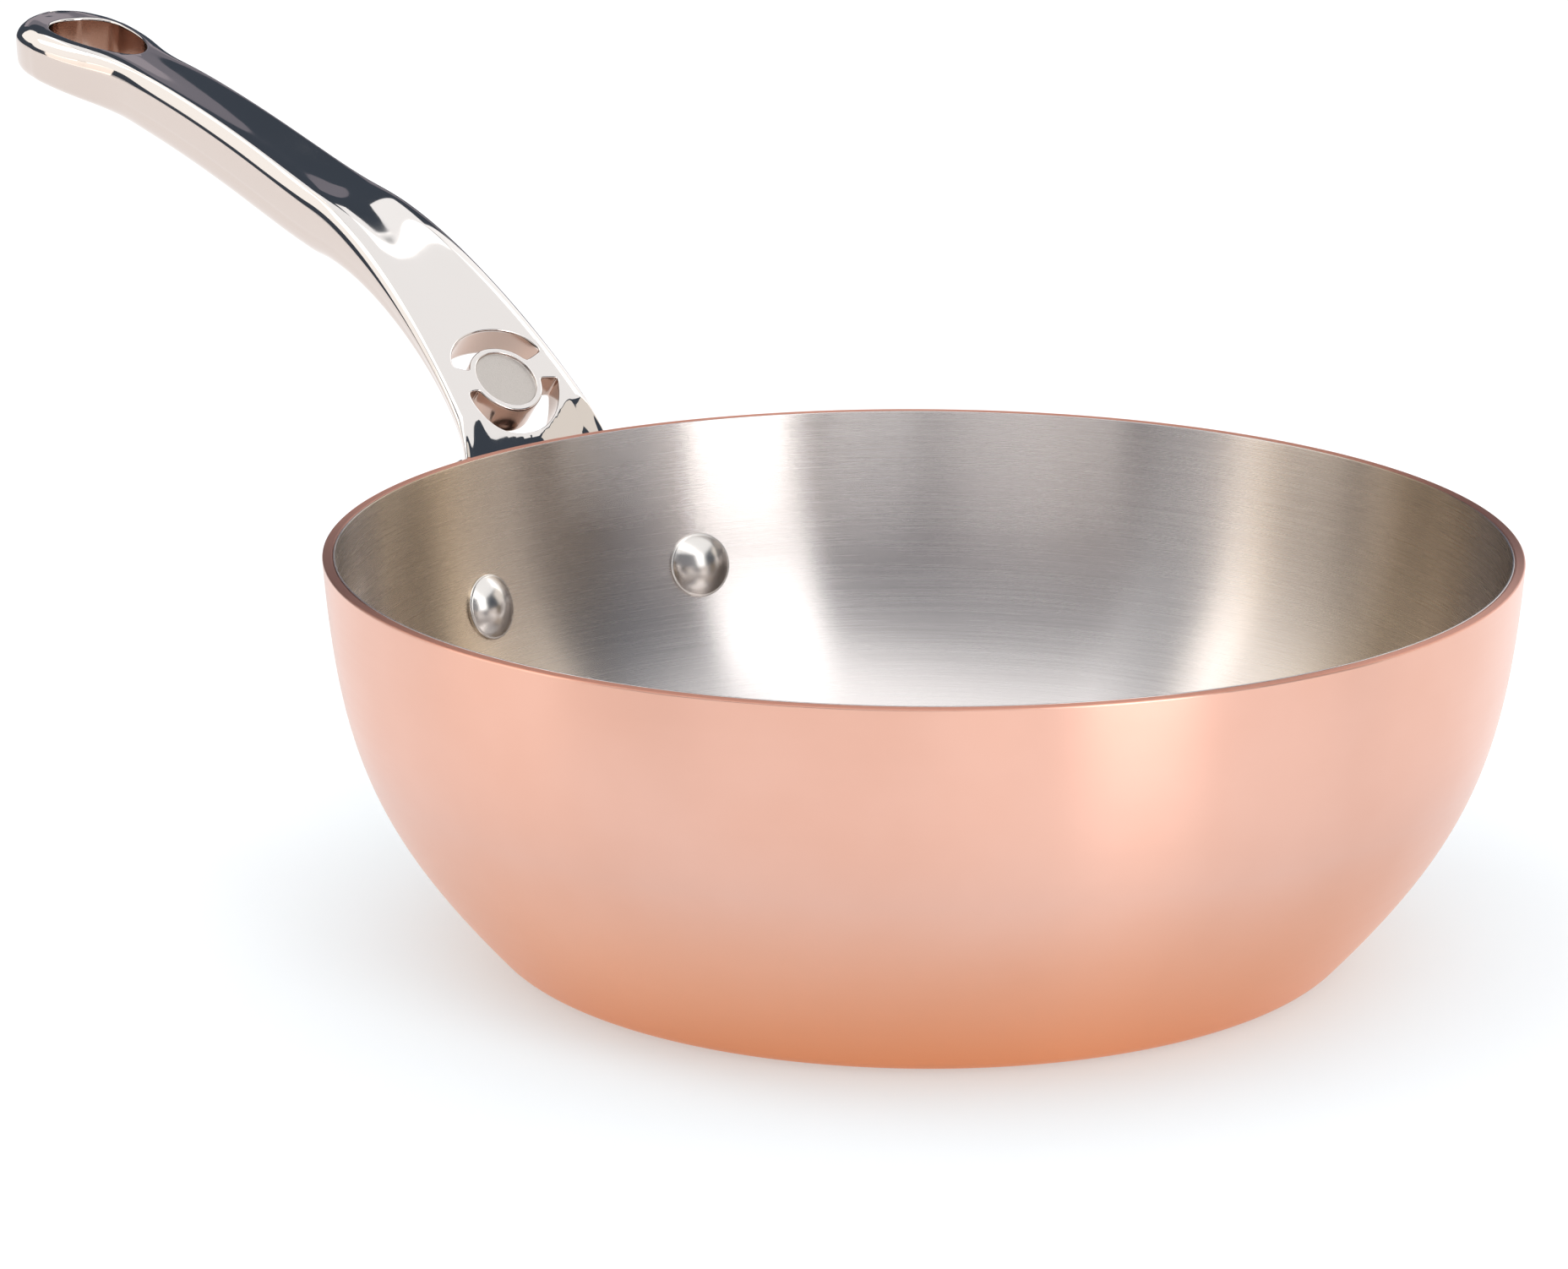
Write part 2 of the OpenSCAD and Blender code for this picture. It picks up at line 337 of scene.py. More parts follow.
def copper_material():
    made, board, place = new_material("spun_copper")
    height = board.parts(place)[2]
    fine = scratches(board, place, 2.0, 5200.0, 3.0, 0.6)
    broad = scratches(board, place, 1.2, 500.0, 2.0, 0.5)
    cloud = board.noise(place, 22.0, 3.0, 0.55)
    rim_top = height.fit((bowl_h - 0.25) * MM, (bowl_h - 0.1) * MM)
    tint = board.blend(cloud.fit(0.35, 0.7), copper_pale, copper_deep)
    # Towards the foot the tint turns to the painted floor reflection.
    tint = board.blend(height.fit(42 * MM, 2 * MM), tint, copper_floor_reflection)
    tint = board.blend(rim_top, tint, copper_rim)
    roughness = 0.24 + fine * 0.05 + broad * 0.04 + cloud * 0.04 + rim_top * 0.15
    finish_metal(board, tint, roughness, fine, 0.03, 0.0002, 0.88)
    return made


copper = copper_material()
print(copper.name)

# %% Lining steel
lining_dark = (0.63, 0.59, 0.57, 1)
lining_pale = (0.71, 0.67, 0.655, 1)
lining_tarnish_and_reflection = (0.60, 0.48, 0.345, 1)
far_x, far_y = -0.763, 0.647  # the way from the camera to the pan, seen from above


def lining_material():
    """Brushed steel. A yellowish tint comes in on the wall, at both sides of the far end: partly tarnish,
    partly a painted warm reflection.
    """
    made, board, place = new_material("brushed_lining")
    fine = scratches(board, place, 3.5, 5200.0, 3.0, 0.65)
    streak = scratches(board, place, 2.0, 1500.0, 2.0, 0.6)
    cloud = board.noise(place, 15.0, 2.0, 0.5)
    tint = board.blend((fine * 0.5 + streak * 0.5).fit(0.3, 0.7), lining_dark, lining_pale)
    x, y, height = board.parts(place)
    # The yellowish tint on the far wall's sides is partly tarnish and partly a painted warm reflection.
    far = (y * far_y + x * far_x) / axis_reach(x, y)
    tarnish_and_reflection = far.fit(0.8, 0.5) * far.fit(0.05, 0.3) * height.fit(8 * MM, 30 * MM)
    tint = board.blend(tarnish_and_reflection, tint, lining_tarnish_and_reflection)
    roughness = 0.20 + fine * 0.06 + streak * 0.05 + cloud * 0.02
    finish_metal(board, tint, roughness, fine * 0.6 + streak * 0.4, 0.05, 0.0002, 0.93)
    return made


lining_steel = lining_material()
print(lining_steel.name)

# %% Polished and blasted steel
side_reflection_shares = (0.93, 0.86, 0.83)


def polished_material(name, tint, least_roughness):
    """Polished steel. Where a point attribute of the mesh marks faces that turn sideways and down, it
    blends in a warmer, darker tint: a painted reflection.
    """
    made, board, place = new_material(name)
    cloud = board.noise(place, 60.0, 3.0, 0.6)
    wave = board.noise(place, 90.0, 1.0, 0.4)
    roughness = least_roughness + cloud.fit(0.4, 0.75) * 0.05
    # The warmer, darker tint is a painted reflection on faces that turn sideways and down.
    side_reflection_tint = [value * share for value, share in zip(tint, side_reflection_shares)]
    colour = board.blend(attribute(board, "side_reflection"), (*tint, 1), (*side_reflection_tint, 1))
    finish_metal(board, colour, roughness, wave, 0.05, 0.0004)
    return made


def blasted_material():
    made, board, place = new_material("blasted_medallion_face")
    grain = board.noise(place, 4200.0, 2.0, 0.6)
    tint = board.blend(grain, (0.40, 0.365, 0.335, 1), (0.56, 0.52, 0.485, 1))
    finish_metal(board, tint, 0.42 + grain * 0.1, grain, 0.5, 0.0001)
    return made


handle_steel = polished_material("polished_handle", (0.68, 0.64, 0.61), 0.035)
rivet_steel = polished_material("polished_rivet", (0.70, 0.665, 0.63), 0.22)
medallion_face = blasted_material()
# The walls of the slots and the eye are tinted darker and brown: painted shade with a painted copper
# reflection.
shaded_cut_steel = polished_material("painted_shade_cut_walls", (0.56, 0.44, 0.38), 0.12)
print(handle_steel.name, rivet_steel.name, medallion_face.name, shaded_cut_steel.name)

# %% [markdown]
# The bowl. Its two layers are turned shapes, so one rule makes both: a line in
# the plane of the radius is carried round the axis. The line has a flat floor,
# a foot arc and a cubic curve up to the rim. The tree wraps a grid: its rows
# follow the line up the outside and down the inside, and its columns go round.

# %% The rule for the bowl
wall_run_length = 0.19
floor_end = 0.2
foot_end_step = 0.3
shell_weld = 1e-6


def wall_line(board, given, step):
    """Place and outward direction on the wall's line, for a step from 0 to 1."""
    base, foot, rim = given.base_radius, given.foot_radius, given.rim_radius
    foot_cos, foot_sin = given.foot_angle.cos(), given.foot_angle.sin()
    foot_x = base + foot * foot_sin
    foot_y = foot * (1.0 - foot_cos)
    foot_handle = board.vector(
        foot_x + given.foot_pull * foot_cos, foot_y + given.foot_pull * foot_sin)
    rim_handle = board.vector(
        rim - given.rim_pull * given.draft.sin(),
        given.height - given.rim_pull * given.draft.cos())
    floor_line = board.line(board.vector(), board.vector(base))
    foot_arc = board.node("GeometryNodeCurveArc", {
        "Resolution": 60, "Radius": foot, "Start Angle": -math.pi / 2,
        "Sweep Angle": given.foot_angle}, mode="RADIUS")
    foot_arc = board.node("GeometryNodeTransform", {
        "Geometry": foot_arc, "Translation": board.vector(base, foot)})
    wall = board.node("GeometryNodeCurvePrimitiveBezierSegment", {
        "Resolution": 200, "Start": board.vector(foot_x, foot_y), "Start Handle": foot_handle,
        "End Handle": rim_handle, "End": board.vector(rim, given.height)}, mode="POSITION")
    at, tangent = follow(board, [
        (floor_line, 0.0, floor_end), (foot_arc, floor_end, foot_end_step),
        (wall, foot_end_step, 1.0)], step)
    along_r, along_z, _ = board.parts(tangent)
    return at, along_z, 0.0 - along_r


def shell_rule(material):
    """One layer of the bowl: its rows run out along one face and back along the other."""
    board, given = geometry_board(
        "turned_shell", around=288, rows=96, rim_radius=rim_r, height=bowl_h, base_radius=base_r,
        foot_radius=foot_r, foot_angle=foot_angle, draft=rim_draft, rim_pull=rim_pull,
        foot_pull=foot_pull, outer_inset=0.0, inner_inset=copper_t, scale=MM)
    rows = given.rows
    grid, turn, up = unit_grid(board, given.around, rows * 2.0)
    row = (up * (rows * 2.0 - 1.0)).maths("ROUND")
    inside = row > (rows - 0.5)
    step = (row + inside * (rows * 2.0 - 1.0 - row * 2.0)) / (rows - 1.0)
    inset = given.outer_inset + inside * (given.inner_inset - given.outer_inset)
    at, out_r, out_z = wall_line(board, given, step)
    radius, height, _ = board.parts(at)
    radius = (radius - inset * out_r).most(0.0) * given.scale
    height = (height - inset * out_z).least(given.height) * given.scale
    grid = board.node("GeometryNodeStoreNamedAttribute", {
        "Geometry": grid, "Name": "wall_run", "Value": step * wall_run_length + inside},
        data_type="FLOAT", domain="POINT")
    finish_rule(board, wrap(board, grid, turn, radius, height, shell_weld), material)
    return board


# %% The two layers of the bowl
def round_edges(made, width, segments):
    bevel = made.modifiers.new("rounding", "BEVEL")
    bevel.width = width
    bevel.segments = segments
    bevel.limit_method = "ANGLE"
    bevel.angle_limit = math.radians(60)
    bevel.harden_normals = True


copper_shell = grow("copper_shell", shell_rule(copper))
lining_shell = grow("lining_shell", shell_rule(lining_steel), outer_inset=copper_t, inner_inset=wall_t)
round_edges(copper_shell, 0.45 * MM, 3)
round_edges(lining_shell, 0.12 * MM, 2)
print("the rims are rounded")

# %% [markdown]
# The rivets. Each is turned too: a polished dome inside the bowl, a shank
# through the wall and a low tail on the flange. One tree draws the line of a
# rivet, turns it and puts it square to the wall at its own side of the handle.

# %% The wall in numbers
def unit(rows):
    """Each row at length 1."""
    return rows / np.linalg.norm(rows, axis=-1, keepdims=True)


def bezier(p, u):
    """The place on a cubic curve with four control points, in rows."""
    return (1 - u) ** 3 * p[0] + 3 * (1 - u) ** 2 * u * p[1] + 3 * (1 - u) * u ** 2 * p[2] + u ** 3 * p[3]


def bezier_slope(p, u):
    d = np.diff(p, axis=0)
    return 3 * ((1 - u) ** 2 * d[0] + 2 * (1 - u) * u * d[1] + u ** 2 * d[2])


wall_controls = np.array([
    rim_end,
    rim_end - rim_pull * np.array([math.sin(rim_draft), math.cos(rim_draft)]),
    foot_end + foot_pull * np.array([math.cos(foot_angle), math.sin(foot_angle)]),
    foot_end,
])


def halve(test):
    """The place between 0 and 1 where test stops being true, found by halving."""
    low, high = 0.0, 1.0
    for _ in range(40):
        middle = (low + high) / 2
        low, high = (middle, high) if test(middle) else (low, middle)
    return (low + high) / 2


def wall_u(height):
    return halve(lambda u: bezier(wall_controls, u)[1] > height)


def wall_normal(u):
    slope = unit(bezier_slope(wall_controls, u))
    return np.array([-slope[1], slope[0]])


rivet_u = wall_u(bowl_h - rivet_depth)
rivet_at = bezier(wall_controls, rivet_u)
rivet_out = wall_normal(rivet_u)
rivet_tilt = math.pi / 2 + math.atan2(-rivet_out[1], rivet_out[0])
rivet_angle = math.asin(rivet_spread / 2 / rivet_at[0])
rivet_sag = rivet_head_r ** 2 / (2 * rivet_at[0])
print("rivets at", rivet_at.round(2), "turned", round(math.degrees(rivet_angle), 2))


# %% The rule for a rivet
corner_share = 0.6
corner_bulge = 0.3
dome_step = 0.05
rivet_weld = 1e-4


def dome_points(radius, height, base, way):
    """Start, middle and end of a dome's arc, from the axis to its edge."""
    ball = (radius * radius + height * height) / (height * 2.0)
    half = radius * 0.5
    drop = (ball * ball - half * half).sqrt() - ball + height
    return (0.0, base + height * way), (half, base + drop * way), (radius, base)


def rivet_line(given):
    """Stretches of a rivet's line: two points for a straight one, three for an arc."""
    head_r, shank_r = given.head_radius, given.shank_radius
    edge_h, tail_seat = given.edge_height, given.tail_seat
    seat = 0.0 - given.head_seat
    edge = seat - edge_h
    corner = edge_h * corner_share
    head = dome_points(head_r - corner, given.head_height - edge_h - dome_step,
                       edge - dome_step, -1.0)
    tail = dome_points(given.tail_radius, given.tail_height, tail_seat, 1.0)
    side = (head_r, edge + corner)
    straight = [side, (head_r, seat), (shank_r, seat), (shank_r, tail_seat), tail[2]]
    rounded = (head[2], (head_r - corner * corner_bulge, edge), side)
    return [head, rounded, *zip(straight, straight[1:]), tail[::-1]]


def rivet_rule(material):
    board, given = geometry_board(
        "rivet", around=96, steps=24, head_radius=rivet_head_r, head_height=rivet_head_h,
        edge_height=rivet_edge_h, shank_radius=rivet_shank_r, tail_radius=rivet_tail_r,
        tail_height=rivet_tail_h, head_seat=wall_t + rivet_sag, tail_seat=flange_t,
        tilt=rivet_tilt, side_angle=rivet_angle, wall_radius=float(rivet_at[0]),
        wall_height=float(rivet_at[1]), scale=MM)
    stretches = []
    for number, ends in enumerate(rivet_line(given)):
        ends = [board.vector(*end) for end in ends]
        curve = board.line(*ends) if len(ends) == 2 else board.node("GeometryNodeCurveArc", {
            "Resolution": 64, "Start": ends[0], "Middle": ends[1], "End": ends[2]}, mode="POINTS")
        stretches.append((curve, float(number), number + 1.0))
    count = float(len(stretches))
    grid, turn, up = unit_grid(board, given.around, given.steps * count + 1.0)
    at, _ = follow(board, stretches, up * count)
    radius, height, _ = board.parts(at)
    turned = wrap(board, grid, turn, radius, height, rivet_weld)
    side, wall, scale = given.side_angle, given.wall_radius, given.scale
    seat_point = board.node("GeometryNodeSetPosition", {
        "Geometry": board.node("GeometryNodeMeshLine", {"Count": 1}),
        "Position": board.vector(
            wall * side.cos() * scale, wall * side.sin() * scale, given.wall_height * scale)})
    placed = board.node("GeometryNodeInstanceOnPoints", {
        "Points": seat_point, "Instance": turned,
        "Rotation": board.vector(0.0, given.tilt, side),
        "Scale": board.vector(scale, scale, scale)})
    finish_rule(board, placed, material)
    return board


# %% The two rivets
rivets = [
    grow(name, rivet_rule(rivet_steel), side_angle=math.pi + side * rivet_angle)
    for name, side in [("left_rivet", 1), ("right_rivet", -1)]]
print("rivets", [rivet.name for rivet in rivets])

# %% [markdown]
# The handle. The casting is a skin over rings: each ring is a section across
# the stem, from the flange to the eye. The slots, the medallion's sunken face
# and the eye are windows in that skin. A window takes out its patch of the
# grid, and triangles fill what is left round the rounded edge of the hole.

# %% Sizes of the handle
handle_reach = 210.5
handle_rise = 67.5
neck_gap = 7.5
neck_drop = 3.5
grip_w = 17.8
grip_t = 15.0
eye_l = 31.0
eye_w = 18.6
eye_wall = 4.9
eye_end_wall = 10.6
medallion_out = 20.6
medallion_side = 0.5
medallion_r = 8.5
medallion_face_r = 7.1
medallion_face_depth = 0.8
medallion_stretch = 1.04

neck_at = [rim_r + neck_gap, bowl_h - neck_drop]
tip_at = [rim_r + handle_reach, bowl_h + handle_rise]
stem_start = np.array([*neck_at, 0, 0, 0])
stem_size = np.array([tip_at[0] - neck_at[0], tip_at[1] - neck_at[1], grip_w / 2, grip_t, 1])
# Columns: run, rise, half width, thickness, the sides' part of the thickness
neck_shares = [
    [0, 0, 2.2, 0.85, 0.62],
    [0.006, 0.055, 1.93, 0.06, 0.3],
    [0.2, 0.558, 1.5, 0.82, 0.5],
    [0.36, 0.646, 1.17, 1.05, 0.62],
]
grip_shares = [
    neck_shares[3],
    [0.486, 0.715, 0.93, 1.1, 0.65],
    [0.607, 0.878, 1, 1.06, 0.62],
    [1, 1.008, 1, 0.94, 0.62],
]
neck_controls = stem_start + np.array(neck_shares) * stem_size
grip_controls = stem_start + np.array(grip_shares) * stem_size
eye_r = eye_w / 2
eye_x = tip_at[0] - eye_end_wall - eye_r
eye_half_w = eye_r + eye_wall
swell_l = eye_l - eye_r / 4


def stem_u(controls, x):
    return halve(lambda u: bezier(controls, u)[0] < x)


print("eye centre", round(eye_x, 2), "medallion", rim_r + medallion_out)

# %% Rings of the stem
# Half a section, from the middle of the top round to the side, as shares of
# the half width and of the depth of the side
flat_share = 0.83
brow_shares = [[0, 0.05], [0.45, 0.02], [flat_share, 0], [0.925, 0.16], [1, 0.35], [0.985, 0.7]]
swell_shares = [0, 0.34, 0.62, 0.81, 1, 1]
ridge_places = (2, 4, 5)
ridge_crisp = 0.3
ridge_soft_share = 0.4
tip_flat_share = 0.35
belly_share = 0.94
belly_steps = 6
belly_power = 0.8


def section(side):
    """A closed section as shares: across the half width, and down from the flat top."""
    half = [[share, depth * side] for share, depth in brow_shares]
    for step in range(belly_steps + 1):
        angle = math.pi / 2 * step / belly_steps
        half.append([belly_share * max(math.cos(angle), 0.0) ** belly_power,
                     side + (1 - side) * math.sin(angle) ** belly_power])
    return np.array(half + [[-share, depth] for share, depth in half[-2:0:-1]])


def swell_weights(shares):
    """How much of the eye's swell each point takes: the flat top takes less than the sides."""
    weights = np.minimum(1, np.abs(shares[:, 0]) / flat_share)
    for place, weight in enumerate(swell_shares):
        weights[place] = weights[-place] = weight
    return weights


def eye_swell(x):
    """How far a ring swells towards the eye's width: 1 beside and beyond its centre."""
    return (1 + math.cos(math.pi * np.clip((eye_x - x) / swell_l, 0, 1))) / 2


def stem_ring(point, slope, wrap=0.0, tip=None):
    """The ring at a control row. Wrap bends it round the wall, and tip draws it in."""
    x, z, half_width, thickness, side = point
    way = unit(slope[:2])
    extra = (eye_half_w - half_width) * eye_swell(x)
    shares = section(side)
    y = np.sign(shares[:, 0]) * (np.abs(shares[:, 0]) * half_width + swell_weights(shares) * extra)
    depth = thickness * shares[:, 1]
    if tip:
        draw_w, draw_flat, crown, draw_t = tip
        flat = np.clip(1 - shares[:, 1] / (tip_flat_share * side), 0, 1)
        y = y * (draw_w + (draw_flat - draw_w) * flat)
        depth = depth + crown * flat
        depth = np.where(depth > thickness / 2, thickness / 2 + (depth - thickness / 2) * draw_t, depth)
    bend = wrap * (x - np.sqrt(x * x - y * y))
    return np.stack([x + way[1] * depth - bend, y, z - way[0] * depth], 1)


def ease(share):
    share = np.clip(share, 0.0, 1.0)
    return share * share * (3 - 2 * share)


ridge_from, ridge_from_run = 175, 50
ridge_to, ridge_to_run = 292, 26


def ridge_share(x):
    """How crisp the ridges are: 1 on the grip, 0 on the neck and beside the eye."""
    return ease((x - ridge_from) / ridge_from_run) * ease((ridge_to - x) / ridge_to_run)


def crisp_ring(ring, x):
    """Adds a point close to each side of a ridge, so that the spline turns sharply there."""
    count = len(ring)
    ridges = set(ridge_places) | {count - place for place in ridge_places}
    points = []
    for k, point in enumerate(ring):
        if k not in ridges:
            points.append(point)
            continue
        for other in (ring[k - 1], ring[(k + 1) % count]):
            reach = np.linalg.norm(other - point)
            soft = ridge_soft_share * reach
            near = min(ridge_crisp, soft)
            distance = soft + (near - soft) * ridge_share(x)
            points.append(point + (other - point) * distance / reach)
    return np.array(points)


root_u = wall_u(bowl_h - (rivet_depth - flange_h / 4))
root_skin = flange_t / 12
root_at = bezier(wall_controls, root_u) + root_skin * wall_normal(root_u)
root_half_w = (rivet_spread - 2 * rivet_head_r) / 2
root_side = 0.7
root_point = np.array([*root_at, root_half_w, flange_t - root_skin, root_side])
root_rings = 6
neck_rings = 18
grip_rings = 20
tip_rings = 9
tip_l = tip_at[0] - eye_x
tip_end_angle = math.radians(86)
tip_plan_power = 2.5
tip_side_power = 6
tip_bevel = 3.6
tip_crown = 3.0
tip_crown_power = 1.5
tip_least_flat = 0.04


def draw_in(share, power, root):
    return max(1 - min(share, 1) ** power, 0.0) ** (1 / root)


def tip_shape(reach):
    """How a ring of the tip is drawn in, at a distance from the eye's centre."""
    share = reach / tip_l
    beyond = max(reach - tip_l + tip_bevel, 0.0) / tip_bevel
    return (draw_in(share, tip_plan_power, tip_plan_power),
            max(draw_in(reach / (tip_l - tip_bevel), tip_plan_power, tip_plan_power), tip_least_flat),
            tip_crown * beyond ** tip_crown_power, draw_in(share, tip_side_power, 2))


def ring_at(controls, u, tip=None):
    return stem_ring(bezier(controls, u), bezier_slope(controls, u), 0.0, tip)


def stem_rings():
    root_way = neck_controls[0] - root_point
    shares = [step / root_rings for step in range(root_rings)]
    rings = [stem_ring(root_point + share * root_way, root_way, 1 - share) for share in shares]
    rings += [ring_at(neck_controls, step / neck_rings) for step in range(neck_rings)]
    eye_u = stem_u(grip_controls, eye_x)
    rings += [ring_at(grip_controls, eye_u * step / grip_rings) for step in range(grip_rings)]
    for step in range(tip_rings + 1):
        reach = tip_l * math.sin(tip_end_angle * step / tip_rings)
        rings.append(ring_at(grip_controls, stem_u(grip_controls, eye_x + reach), tip_shape(reach)))
    return np.array([crisp_ring(ring, ring[0, 0]) for ring in rings])


rings = stem_rings()
print("rings", rings.shape)

# %% [markdown]
# Rings alone would show facets in a mirror finish. A B-spline through the
# rings, and round each one, gives a skin whose reflections flow without kinks.

# %% A fine skin through the rings
fine_steps = 4


def spline_rows(points, closed):
    """Fine rows of a cubic B-spline whose control rows are the given ones."""
    count = len(points)
    if closed:
        padded = np.concatenate([points[-1:], points, points[:2]])
        spans = count
    else:
        padded = np.concatenate(
            [2 * points[:1] - points[1:2], points, 2 * points[-1:] - points[-2:-1]])
        spans = count - 1
    rows = []
    for span in range(spans):
        for step in range(fine_steps):
            t = step / fine_steps
            weights = np.array([(1 - t) ** 3, 3 * t ** 3 - 6 * t ** 2 + 4,
                                -3 * t ** 3 + 3 * t ** 2 + 3 * t + 1, t ** 3]) / 6
            rows.append(np.tensordot(weights, padded[span:span + 4], 1))
    if not closed:
        rows.append(points[-1])
    return np.array(rows)


def passing_through(points):
    """Control rows whose spline passes through the given rows."""
    count = len(points)
    matrix = np.eye(count)
    for row in range(1, count - 1):
        matrix[row, row - 1:row + 2] = [1 / 6, 4 / 6, 1 / 6]
    return np.linalg.solve(matrix, points.reshape(count, -1)).reshape(points.shape)


around = spline_rows(rings.transpose(1, 0, 2), True).transpose(1, 0, 2)
skin = spline_rows(passing_through(around), False)
row_count, column_count = skin.shape[:2]
print("skin", row_count, "rows of", column_count)

# %% Press the root's facets and the side lines into the skin
# At the root a facet falls away on each side of the middle. A fine line runs
# along the lower ridge on each side. Columns are counted from the middle of the top.
facet_from = 135.0
facet_run = 6.0
facet_y = 12.0
facet_slope = 0.38
facet_most = 8.0
facet_soft = 0.2
facet_columns = 14
line_column = 36
line_depth = 0.26


def facets(x, y):
    """Depth of the root's facets at a place on the top."""
    beyond = facet_from - x - facet_run * (1 - np.clip(np.abs(y) / facet_y, 0, 1))
    beyond = np.clip(beyond, None, facet_most)
    return facet_slope * (beyond + np.sqrt(beyond ** 2 + facet_soft)) / 2


middle_way = unit(np.gradient(skin[:, 0], axis=0))
middle_down = np.stack([middle_way[:, 2], middle_way[:, 1], -middle_way[:, 0]], 1)
from_middle = np.minimum(np.arange(column_count), column_count - np.arange(column_count))
on_top = 1 - ease((from_middle - facet_columns) / facet_columns)
pressed = facets(skin[..., 0], skin[..., 1]) * on_top
skin = skin + pressed[..., None] * middle_down[:, None]
for column in (line_column, column_count - line_column):
    side_way = np.sign(skin[:, column, 1])
    skin[:, column, 1] -= side_way * line_depth * ridge_share(skin[:, 0, 0])
print("deepest press", round(float(pressed.max()), 2), "mm")


# %% Tools for cutting windows
class Casting:
    """Points and faces of a cast piece while it is built."""

    def __init__(self):
        self.points = []
        self.faces = []
        self.blasted = []
        self.cut = []

    def add(self, points):
        first = len(self.points)
        self.points.extend(np.asarray(points, float).reshape(-1, 3).tolist())
        return list(range(first, len(self.points)))

    def bridge(self, *chain):
        """Joins each loop to the next; returns the numbers of the new faces."""
        first = len(self.faces)
        for loop, other in zip(chain, chain[1:]):
            for k in range(len(loop)):
                after = (k + 1) % len(loop)
                self.faces.append([loop[k], loop[after], other[after], other[k]])
        return range(first, len(self.faces))

    def close(self, loop, centre):
        """Fans a loop round a new centre; returns the numbers of the new faces."""
        first = len(self.faces)
        top = self.add([centre])[0]
        for k in range(len(loop)):
            self.faces.append([loop[k], loop[(k + 1) % len(loop)], top])
        return range(first, len(self.faces))


class Plane:
    """The plane on top of the stem at a distance from the axis."""

    def __init__(self, controls, x):
        u = stem_u(controls, x)
        at = bezier(controls, u)
        slope = unit(bezier_slope(controls, u)[:2])
        self.at = np.array([at[0], 0, at[1]])
        self.way = np.array([slope[0], 0, slope[1]])
        self.up = np.array([-slope[1], 0, slope[0]])

    def flat(self, points):
        return np.stack([(points - self.at) @ self.way, points[..., 1]], -1)

    def lift(self, flat, height):
        place = self.at + flat[..., :1] * self.way + flat[..., 1:] * np.array([0, 1, 0])
        return place + np.asarray(height)[..., None] * self.up


casting = Casting()
skin_ids = np.array(casting.add(skin)).reshape(row_count, column_count)
next_ids = np.roll(skin_ids, -1, 1)
skin_faces = np.stack([skin_ids[:-1], next_ids[:-1], next_ids[1:], skin_ids[1:]], -1)
skin_tree = BVHTree.FromPolygons([Vector(p) for p in casting.points], skin_faces.reshape(-1, 4).tolist())
ray_start = 30.0


def surface_height(plane, flat, side):
    """Height of the skin over the plane, seen from above (side 1) or from below (side -1)."""
    starts = [Vector(start) for start in plane.lift(flat, side * ray_start)]
    hits = [skin_tree.ray_cast(start, Vector(-side * plane.up))[0] for start in starts]
    return np.array([side * (ray_start - (hit - start).length) for start, hit in zip(starts, hits)])


def offset_loop(outline, distance):
    ahead = unit(np.roll(outline, -1, 0) - np.roll(outline, 1, 0))
    return outline + distance * np.stack([ahead[:, 1], -ahead[:, 0]], 1)


def inside_polygon(points, polygon):
    """Which points lie inside: a ray from each crosses the outline an odd number of times."""
    after = np.roll(polygon, -1, 0)
    x, y = points[:, :1], points[:, 1:]
    crosses = (polygon[:, 1] > y) != (after[:, 1] > y)
    rise = np.where(after[:, 1] == polygon[:, 1], 1.0, after[:, 1] - polygon[:, 1])
    reach = (after[:, 0] - polygon[:, 0]) * (y - polygon[:, 1]) / rise + polygon[:, 0]
    return (crosses & (x < reach)).sum(1) % 2 == 1


rounding_steps = 5
wall_start = 1.6  # where a hole's wall begins, in radii of its rounded edge


def quarter_turn():
    """Sine and cosine at even steps through a quarter turn."""
    angles = [math.pi / 2 * step / rounding_steps for step in range(rounding_steps + 1)]
    return [(math.sin(angle), math.cos(angle)) for angle in angles]


def edge_loops(plane, outline, side, radius):
    """Loops that round the edge of a hole, from the skin to the wall."""
    loops = []
    for sine, cosine in quarter_turn():
        flat = offset_loop(outline, radius * (1 - sine))
        height = surface_height(plane, flat, side) - side * radius * (1 - cosine)
        loops.append(casting.add(plane.lift(flat, height)))
    height = surface_height(plane, outline, side) - side * radius * wall_start
    loops.append(casting.add(plane.lift(outline, height)))
    return loops


removed = np.zeros(skin_faces.shape[:2], bool)


def fill_window(plane, rows, columns, loops, margin):
    """Takes a patch of the grid out and fills it again round the given loops."""
    low, high = rows
    left, right = columns
    across = np.arange(left, right + 1) % column_count
    removed[low:high, across[:-1]] = True
    patch = skin_ids[low:high + 1, across]
    border_ids = [*patch[0, :-1], *patch[:-1, -1], *patch[-1, :0:-1], *patch[:0:-1, 0]]
    inner = patch[1:-1, 1:-1].ravel()
    places = plane.flat(np.array(casting.points))
    holes = [places[loop] for loop in loops]
    free = np.ones(len(inner), bool)
    for hole in holes:
        near = np.linalg.norm(places[inner][:, None] - hole, axis=2).min(1)
        free &= (near > margin) & ~inside_polygon(places[inner], hole)
    ids = [int(v) for v in [*border_ids, *sum(loops, []), *inner[free]]]
    flat = places[ids]
    edges = []
    first = 0
    for count in [len(border_ids)] + [len(loop) for loop in loops]:
        edges += [(first + k, first + (k + 1) % count) for k in range(count)]
        first += count
    result = delaunay_2d_cdt([Vector(p) for p in flat], edges, [], 0, 1e-7)
    origin = [found[0] for found in result[3]]
    triangles = [[origin[v] for v in face] for face in result[2]]
    centres = np.array([flat[face].mean(0) for face in triangles])
    keep = inside_polygon(centres, places[border_ids])
    for hole in holes:
        keep &= ~inside_polygon(centres, hole)
    casting.faces += [[ids[v] for v in face] for face, wanted in zip(triangles, keep) if wanted]
    return int(keep.sum())


